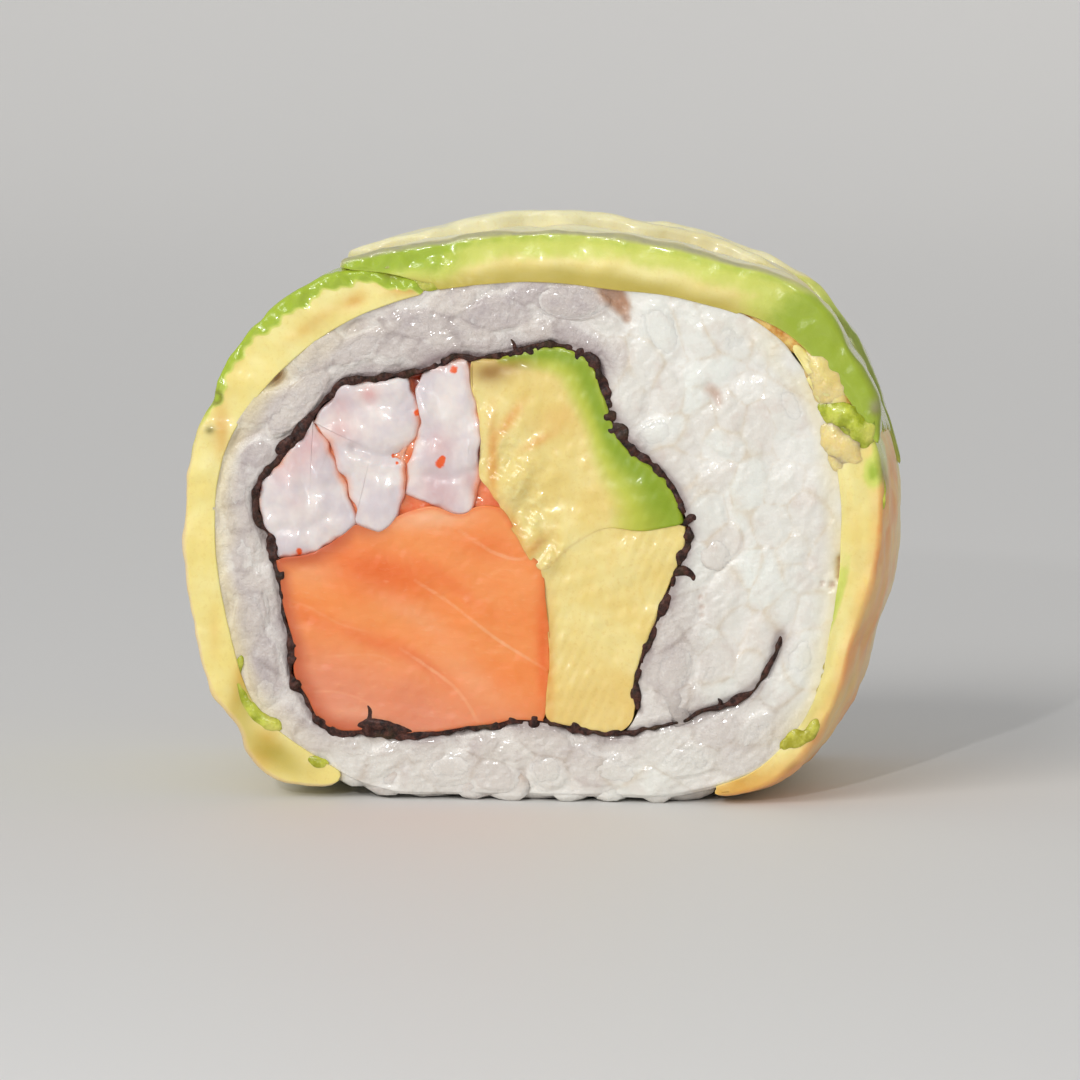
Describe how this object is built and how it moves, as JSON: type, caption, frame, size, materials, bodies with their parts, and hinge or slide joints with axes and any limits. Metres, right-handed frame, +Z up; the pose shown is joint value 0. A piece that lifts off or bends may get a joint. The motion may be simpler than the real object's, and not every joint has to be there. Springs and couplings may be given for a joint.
{
  "type": "uramaki roll",
  "caption": "Uramaki sushi piece: rice round nori, salmon, prawn and avocado, wrapped in avocado slices; rests on its rice side with both cut faces showing.",
  "frame": {"origin": "the middle of the overall box at the ground, under the roll", "axes": "+Z up; the roll's length along Y, between its two cut faces, with the shown cut facing -Y; X across the cut, +X to the viewer's right"},
  "size_m": [0.0517, 0.0262, 0.0422],
  "materials": {
    "rice": "moist cooked sushi rice",
    "nori": "moist dark seaweed sheet",
    "salmon": "moist raw salmon",
    "prawn": "moist cooked prawn",
    "avocado_filling": "soft ripe avocado, yellow to green",
    "avocado_cover": "thin avocado slices, cream with a green rim"
  },
  "bodies": {
    "root": {"rice": "rice", "nori": "nori", "salmon": "salmon", "prawn_left": "prawn", "prawn_middle": "prawn", "prawn_right": "prawn", "avocado_strip_upper": "avocado_filling", "avocado_strip_lower": "avocado_filling", "avocado_side_left": "avocado_cover", "avocado_side_right": "avocado_cover", "avocado_top_front": "avocado_cover", "avocado_top_middle": "avocado_cover", "avocado_top_back": "avocado_cover"}
  },
  "joints": []
}
